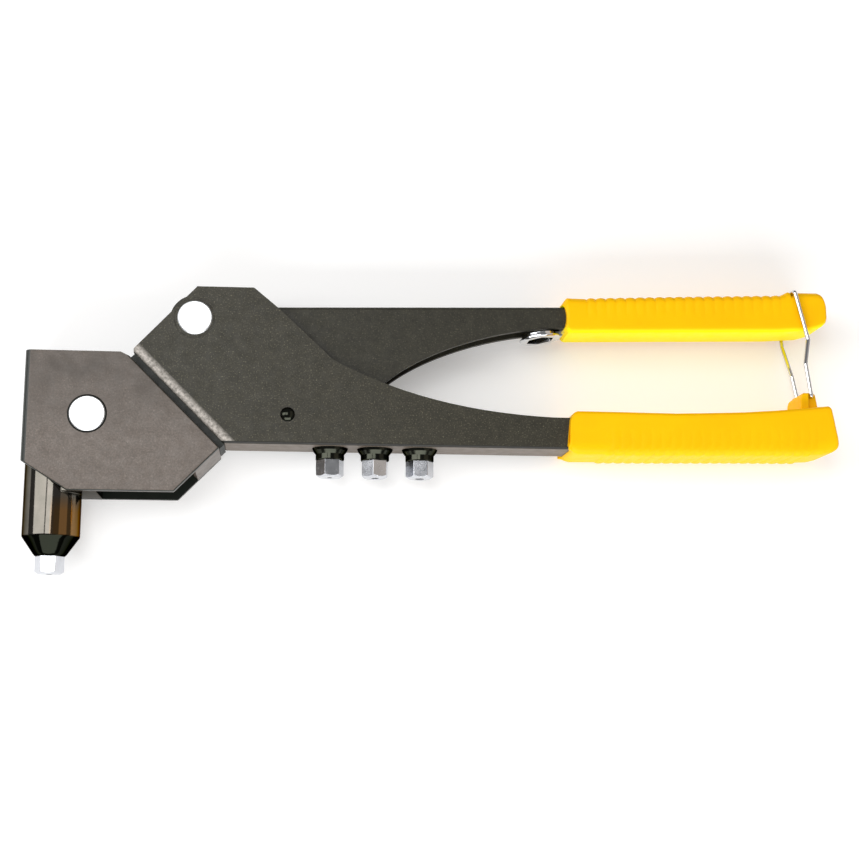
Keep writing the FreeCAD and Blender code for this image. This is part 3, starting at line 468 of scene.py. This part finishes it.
RING_SPACING = 0.3
FLAT_STEPS = 4
CORNER_STEPS = 6
SIDE_STEPS = 10
CORE_DEPTH = 6.0  # depth of the modelled recess round the steel
CORE_RADII = (0.3, 0.6)
END_ROUND = (1.1, 0.9)  # length and depth of the rounding at the closed end
MOUTH_ROUND = (0.9, 0.5)  # and at the mouth
MOUTH_REACH = 4.0  # how far the curve of the mouth fades into the grip
END_REACH = 14.0
LARGEST_CORNER = 0.45  # share of the grip's height
SLEEVE_ANGLE = 40
RIB_PITCH = 3.5
UPPER_RIB_HEIGHT = 0.55
UPPER_RIBS = (134.0, 204.0)
LOWER_RIB_HEIGHT = 0.5
LOWER_RIBS = (141.0, 214.0)


def follow(points, x):
    """The height of a line of straight runs at a place along it."""
    for (x0, y0), (x1, y1) in zip(points, points[1:]):
        if x <= x1:
            return y0 + (y1 - y0) * max(0.0, x - x0) / (x1 - x0)
    return points[-1][1]


def ease(x, start, end):
    """A smooth step from 0 at the start to 1 at the end."""
    t = min(1.0, max(0.0, (x - start) / (end - start)))
    return t * t * (3 - 2 * t)


def bulge(t):
    """A rounded arch over 0 to 1."""
    return math.sin(math.pi * min(1, max(0, t))) ** 0.8


def half_section(low, high, half, low_radius, high_radius):
    """Points (y, z, normal y, normal z) from the middle of the underside round to the top."""
    points = []
    for i in range(FLAT_STEPS):
        points.append((low, (half - low_radius) * i / FLAT_STEPS, -1.0, 0.0))
    for i in range(CORNER_STEPS + 1):
        a = math.pi / 2 * i / CORNER_STEPS
        points.append((low + low_radius * (1 - math.cos(a)), half - low_radius * (1 - math.sin(a)),
                       -math.cos(a), math.sin(a)))
    side = high - high_radius - low - low_radius
    for i in range(1, SIDE_STEPS):
        points.append((low + low_radius + side * i / SIDE_STEPS, half, 0.0, 1.0))
    for i in range(CORNER_STEPS + 1):
        a = math.pi / 2 * i / CORNER_STEPS
        points.append((high - high_radius * (1 - math.sin(a)), half - high_radius * (1 - math.cos(a)),
                       math.sin(a), math.cos(a)))
    for i in range(1, FLAT_STEPS + 1):
        points.append((high, (half - high_radius) * (1 - i / FLAT_STEPS), 1.0, 0.0))
    return points


def whole_ring(points):
    """A half section and its mirror image as one closed ring of (x, y, z)."""
    far = [(x, y, -z) for x, y, z in points[-2:0:-1]]
    return points + far


def core_ring(shape, depth):
    """A ring of the recess round the steel, at a depth behind the grip's lip."""
    low, high, half = shape["core"]
    start = shape["length"][0]
    return whole_ring([
        (start + shape["lip"]((y - low) / (high - low)) + depth, y, z)
        for y, z, normal_y, normal_z in half_section(low, high, half, *CORE_RADII)
    ])


def outer_ring(shape, x):
    """A ring of the outside, with its rounded ends, its curved mouth and its ribs."""
    start, end = shape["length"]
    bottom, top = follow(shape["bottom"], x), follow(shape["top"], x)
    to_end = min(1.0, (end - x) / END_ROUND[0] + 0.02)
    half = shape["half"] - END_ROUND[1] * (1 - math.sqrt(1 - (1 - to_end) ** 2))
    half -= MOUTH_ROUND[1] * (1 - ease(x, start, start + MOUTH_ROUND[0]))
    radii = [min(r, (top - bottom) * LARGEST_CORNER) for r in shape["radii"]]
    ring = []
    for y, z, normal_y, normal_z in half_section(bottom, top, half, *radii):
        t = (y - bottom) / (top - bottom)
        here = x + shape["mouth"](t) * (1 - ease(x, start, start + MOUTH_REACH))
        here += shape["end"](t) * ease(x, end - END_REACH, end)
        rise = shape["rib"](here, t)
        ring.append((here, y + normal_y * rise, z + normal_z * rise))
    return whole_ring(ring)


def sleeve(node, body, shape, material):
    """A grip as one closed skin: the recess round the steel first, then the outside."""
    start, end = shape["length"]
    count = int((end - start) / RING_SPACING)
    places = [start + (end - start) * i / count for i in range(count + 1)]
    rings = [core_ring(shape, depth) for depth in (CORE_DEPTH, 0.0)]
    rings += [outer_ring(shape, x) for x in places]
    obj = skin(node + "_sleeve", rings)
    crisp(obj, SLEEVE_ANGLE)
    stand_for(obj, node, body, material)


def ribs(x, start, end):
    """Rounded ribs with narrow valleys, fading in and out at the ends of their run."""
    wave = abs(math.sin(math.pi * (x - start) / RIB_PITCH)) ** 0.7
    return wave * ease(x, start, start + 1) * (1 - ease(x, end - 1, end))


def upper_rib(x, t):
    """Ribs across the top of the upper grip, in a shallow trough."""
    start, end = UPPER_RIBS
    share = ease(t, 0.4, 0.62) * 0.3 + ease(t, 0.8, 0.97) * 0.7
    trough = ease(x, start - 0.5, start + 0.5) * (1 - ease(x, end - 0.5, end + 0.5))
    return UPPER_RIB_HEIGHT * share * (ribs(x, start, end) - 0.6 * trough)


def lower_rib(x, t):
    """Ribs across the underside of the lower grip, faint on the lower half of its sides."""
    share = (1 - ease(t, 0.5, 0.62)) * 0.17 + (1 - ease(t, 0.12, 0.24)) * 0.7
    slanted = x + 2.2 * (1 - ease(t, 0.0, 0.2))
    return LOWER_RIB_HEIGHT * share * (ribs(slanted, *LOWER_RIBS) - 1.0)


# Each grip's outlines are (x, y) points in millimetres from the main pivot. Its radii are those of
# the lower and the upper corners, and its core is the low and high edge and the half width of the
# recess. The four shapes take t, the height over the grip from 0 at the underside to 1 at the top.
UPPER_SLEEVE = {
    "length": (125.7, 220.2),
    "half": 8.2,
    "radii": (1.7, 2.3),
    "core": (0.4, 8.15, 5.8),
    "top": [(125.7, 8.6), (126.5, 10.2), (127.3, 11.1), (129.5, 11.0), (133.2, 11.0), (167.5, 12.6),
            (203.0, 14.1), (205.0, 14.7), (206.6, 15.6), (207.3, 15.5), (207.5, 14.7), (208.2, 14.3),
            (208.9, 14.7), (209.1, 15.4), (217.2, 15.5), (218.4, 15.1), (219.2, 14.3), (219.6, 13.4),
            (220.2, 12.0)],
    "bottom": [(125.7, -1.3), (128.0, -1.5), (201.3, 0.7), (210.0, 1.3), (213.4, 1.6), (216.0, 2.3),
               (218.6, 3.3), (219.8, 4.4), (220.2, 5.0)],
    "mouth": lambda t: 1.4 * bulge(t) + 2.0 - 2.0 * ease(t, 0, 0.2),
    "lip": lambda t: 1.4 * bulge(0.15 + t * 0.7),
    "end": lambda t: 0.0,
    "rib": upper_rib,
}
LOWER_SLEEVE = {
    "length": (126.3, 219.4),
    "half": 10.4,
    "radii": (2.6, 1.3),
    "core": (-42.6, -32.6, 8.1),
    "top": [(126.3, -41.6), (127.1, -39.0), (127.2, -32.5), (127.7, -31.3), (128.5, -30.1),
            (129.7, -29.5), (144.5, -29.5), (164.1, -29.6), (176.0, -29.2), (188.0, -28.7),
            (200.0, -27.8), (208.0, -27.0), (218.4, -25.9), (219.2, -26.3)],
    "bottom": [(126.3, -43.6), (127.2, -44.3), (129.9, -44.8), (160.0, -44.4), (190.0, -43.9),
               (209.0, -43.7), (214.0, -43.4), (216.8, -42.6), (218.4, -41.6), (219.4, -40.5)],
    "mouth": lambda t: 1.2 * (1 - ease(t, 0.0, 0.25)),
    "lip": lambda t: 1.0 - 0.1 * ease(t, -0.05, 0.1),
    "end": lambda t: 2.5 * (1 - t),
    "rib": lower_rib,
}


def grip_hump():
    """The block that holds the bail: wide at the left, cut back for the legs at the right."""
    wide = [(209.4, -30), (209.6, -23.2), (210.1, -21.6), (211.2, -20.8), (212.6, -20.8), (212.6, -30)]
    slim = [(211.0, -30), (211.0, -20.5), (214.6, -20.5), (215.4, -21.2), (216.8, -30)]
    points, faces = prism(wide, 6.9)
    slim_points, slim_faces = prism(slim, 5.6)
    faces += [tuple(i + len(points) for i in face) for face in slim_faces]
    obj = new_object("grip_hump", points + slim_points, faces)
    crisp(obj)
    soften_edges(obj, 0.45, 4)
    stand_for(obj, "lower_grip", "frame", LOWER_VINYL)


sleeve("upper_grip", "lever", UPPER_SLEEVE, UPPER_VINYL)
sleeve("lower_grip", "frame", LOWER_SLEEVE, LOWER_VINYL)
grip_hump()

# ---------------------------------------------------------------- studio

FLOOR_HALF = 6.0
FLOOR_LEVEL = -0.0004
CAMERA_AZIMUTH = 6.0
CAMERA_ELEVATION = 10.5
CAMERA_DISTANCE = 0.487
CAMERA_AIM = (80.2, -35.3)
CAMERA_LENS = 59.5
SENSOR_WIDTH = 36.0


def floor():
    """A large pale sheet under the tool that glows a little, so that it fades to white."""
    corners = [(-1, -1), (1, -1), (1, 1), (-1, 1)]
    mesh = bpy.data.meshes.new("floor")
    mesh.from_pydata(
        [(x * FLOOR_HALF, y * FLOOR_HALF, FLOOR_LEVEL) for x, y in corners], [], [(0, 1, 2, 3)])
    obj = bpy.data.objects.new("floor", mesh)
    bpy.context.scene.collection.objects.link(obj)
    g = Graph("floor_paper")
    tone = g.ramp(g.noise(3, 2), [(0.3, (0.8, 0.8, 0.8)), (0.7, (0.83, 0.83, 0.83))])
    g.finish(Base_Color=tone, Roughness=0.9, Emission_Color=tone, Emission_Strength=0.35)
    obj.data.materials.append(g.material)


def panel(name, direction, size, radiance, tint=(1, 1, 1), distance=0.8):
    """A soft box that faces the tool. Its size and distance are in metres."""
    middle = at(20, -35)
    data = bpy.data.lights.new(name, "AREA")
    data.shape = "RECTANGLE"
    data.size, data.size_y = size
    data.energy = radiance * math.pi * size[0] * size[1]
    data.color = tint
    obj = bpy.data.objects.new(name, data)
    way = Vector(direction).normalized()
    side = Vector((1, 0, 0)) if abs(way.x) < 0.9 else Vector((0, 0, 1))
    up = way.cross(side).normalized()
    side = up.cross(way)
    obj.matrix_world = Matrix.Translation(middle + way * distance) @ Matrix(
        (side, up, way)).transposed().to_4x4()
    bpy.context.scene.collection.objects.link(obj)


def bearing(degrees, lean):
    """A direction over the tool, leaned from overhead towards -X, with a share towards +Y."""
    angle = math.radians(degrees)
    return -math.sin(angle), lean, math.cos(angle)


def studio():
    floor()
    panel("overhead", bearing(8, 0.2), size=(0.3, 0.42), radiance=4.4)
    panel("side", bearing(46, 0.2), size=(0.66, 0.42), radiance=4.2)
    panel("below", (0.05, -1.0, 0.6), size=(1.3, 0.5), radiance=4.2, distance=0.9)
    panel("card", (1.0, 0.15, 0.8), size=(0.5, 1.2), radiance=0.45, tint=(1.0, 0.85, 0.7))
    world = bpy.data.worlds.new("studio")
    world.use_nodes = True
    back = world.node_tree.nodes["Background"]
    back.inputs["Color"].default_value = (1, 1, 1, 1)
    back.inputs["Strength"].default_value = 0.2
    bpy.context.scene.world = world


def camera():
    """Looks down on the tool as it lies, from a little to its left and below its lower grip."""
    data = bpy.data.cameras.new("camera")
    data.lens = CAMERA_LENS
    data.sensor_width = SENSOR_WIDTH
    data.clip_start = 0.01
    obj = bpy.data.objects.new("camera", data)
    azimuth, elevation = math.radians(CAMERA_AZIMUTH), math.radians(CAMERA_ELEVATION)
    back = Vector((
        -math.sin(azimuth),
        -math.cos(azimuth) * math.sin(elevation),
        math.cos(azimuth) * math.cos(elevation),
    ))
    right = Vector((0, 1, 0)).cross(back).normalized()
    up = back.cross(right)
    place = at(*CAMERA_AIM) + back * CAMERA_DISTANCE
    rotation = Matrix((right, up, back)).transposed().to_4x4()
    obj.matrix_world = Matrix.Translation(place) @ rotation
    bpy.context.scene.collection.objects.link(obj)
    bpy.context.scene.camera = obj
    bpy.context.scene.view_settings.view_transform = "Standard"


studio()
camera()
